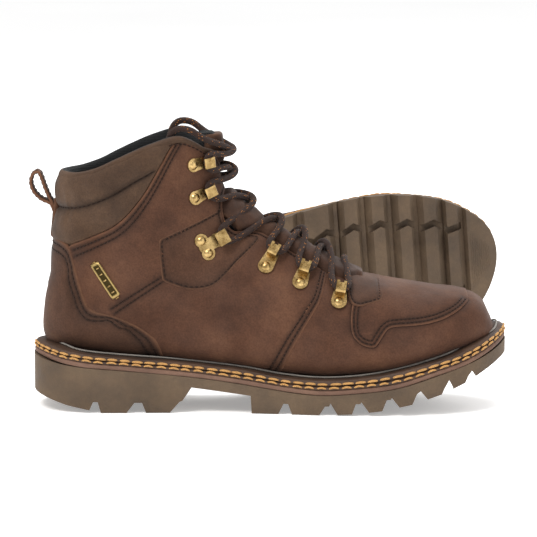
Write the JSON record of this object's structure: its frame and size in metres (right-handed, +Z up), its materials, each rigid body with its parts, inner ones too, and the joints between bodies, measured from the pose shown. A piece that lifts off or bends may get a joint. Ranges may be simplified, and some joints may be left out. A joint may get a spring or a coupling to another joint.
{
  "type": "insulated hunting boots",
  "caption": "Lace-up insulated hunting boots with lugged soles, padded collars, hook and ring lacing, linings and pull loops; one stands and the other lies behind it.",
  "frame": {"origin": "on the ground under the middle of the standing right boot's heel tread", "axes": "+X towards the standing boot's toe, +Y to its inner side, towards the lying left boot, +Z up"},
  "size_m": [0.3213, 0.515, 0.1866],
  "materials": {
    "nubuck": "nubuck, brushed",
    "collar": "suede, padded",
    "outsole": "moulded, matt",
    "midsole": "matt",
    "welt": "smooth welt",
    "shank": "plain",
    "board": "fibreboard",
    "footbed": "moulded foam with cloth top",
    "lining": "spacer mesh",
    "insulation": "fine-fibre batting",
    "brass": "antique, rubbed",
    "lace": "round braid",
    "aglet": "clear-coated tip"
  },
  "bodies": {
    "right_boot": {"right_outsole": "outsole", "right_midsole": "midsole", "right_welt": "welt", "right_shank": "shank", "right_insole_board": "board", "right_footbed": "footbed", "right_toe_puff": "board", "right_heel_stiffener": "board", "right_lining": "lining", "right_insulation": "insulation", "right_vamp": "nubuck", "right_apron": "nubuck", "right_throat_tab": "nubuck", "right_lateral_quarter": "nubuck", "right_medial_quarter": "nubuck", "right_ankle_patches": "nubuck", "right_heel_counter": "nubuck", "right_backstay": "nubuck", "right_collar": "collar", "right_collar_lining": "lining", "right_badge": "brass", "right_speed_hooks": "brass", "right_locking_hooks": "brass", "right_d_rings": "brass", "right_rivets": "brass", "right_lace": "lace", "right_aglets": "aglet"},
    "right_tongue_body": {"right_tongue": "collar", "right_tongue_lining": "lining"},
    "right_loop_body": {"right_pull_loop": "nubuck"},
    "left_boot": {"left_outsole": "outsole", "left_midsole": "midsole", "left_welt": "welt", "left_shank": "shank", "left_insole_board": "board", "left_footbed": "footbed", "left_toe_puff": "board", "left_heel_stiffener": "board", "left_lining": "lining", "left_insulation": "insulation", "left_vamp": "nubuck", "left_apron": "nubuck", "left_throat_tab": "nubuck", "left_lateral_quarter": "nubuck", "left_medial_quarter": "nubuck", "left_ankle_patches": "nubuck", "left_heel_counter": "nubuck", "left_backstay": "nubuck", "left_collar": "collar", "left_collar_lining": "lining", "left_badge": "brass", "left_speed_hooks": "brass", "left_locking_hooks": "brass", "left_d_rings": "brass", "left_rivets": "brass", "left_lace": "lace", "left_aglets": "aglet"},
    "left_tongue_body": {"left_tongue": "collar", "left_tongue_lining": "lining"},
    "left_loop_body": {"left_pull_loop": "nubuck"}
  },
  "joints": [
    {"name": "right_tongue_hinge", "type": "hinge", "parent": "right_boot", "child": "right_tongue_body", "pos_m": [0.1225, -0.002, 0.0825], "axis": [0, -1, 0], "range_deg": [0, 4]},
    {"name": "right_loop_hinge", "type": "hinge", "parent": "right_boot", "child": "right_loop_body", "pos_m": [-0.0696, 0, 0.1306], "axis": [0, -1, 0], "range_deg": [-8, 60], "stiffness_Nm_per_rad": 0.004},
    {"name": "left_boot_slide", "type": "slide", "parent": "right_boot", "child": "left_boot", "axis": [0, 1, 0], "range_m": [0, 0.12]},
    {"name": "left_tongue_hinge", "type": "hinge", "parent": "left_boot", "child": "left_tongue_body", "pos_m": [0.13641, 0.35546, 0.05086], "axis": [-0.0725, 0.0143, 0.9973], "range_deg": [0, 4]},
    {"name": "left_loop_hinge", "type": "hinge", "parent": "left_boot", "child": "left_loop_body", "pos_m": [-0.05528, 0.40359, 0.03823], "axis": [-0.0725, 0.0143, 0.9973], "range_deg": [-8, 60], "stiffness_Nm_per_rad": 0.004}
  ]
}
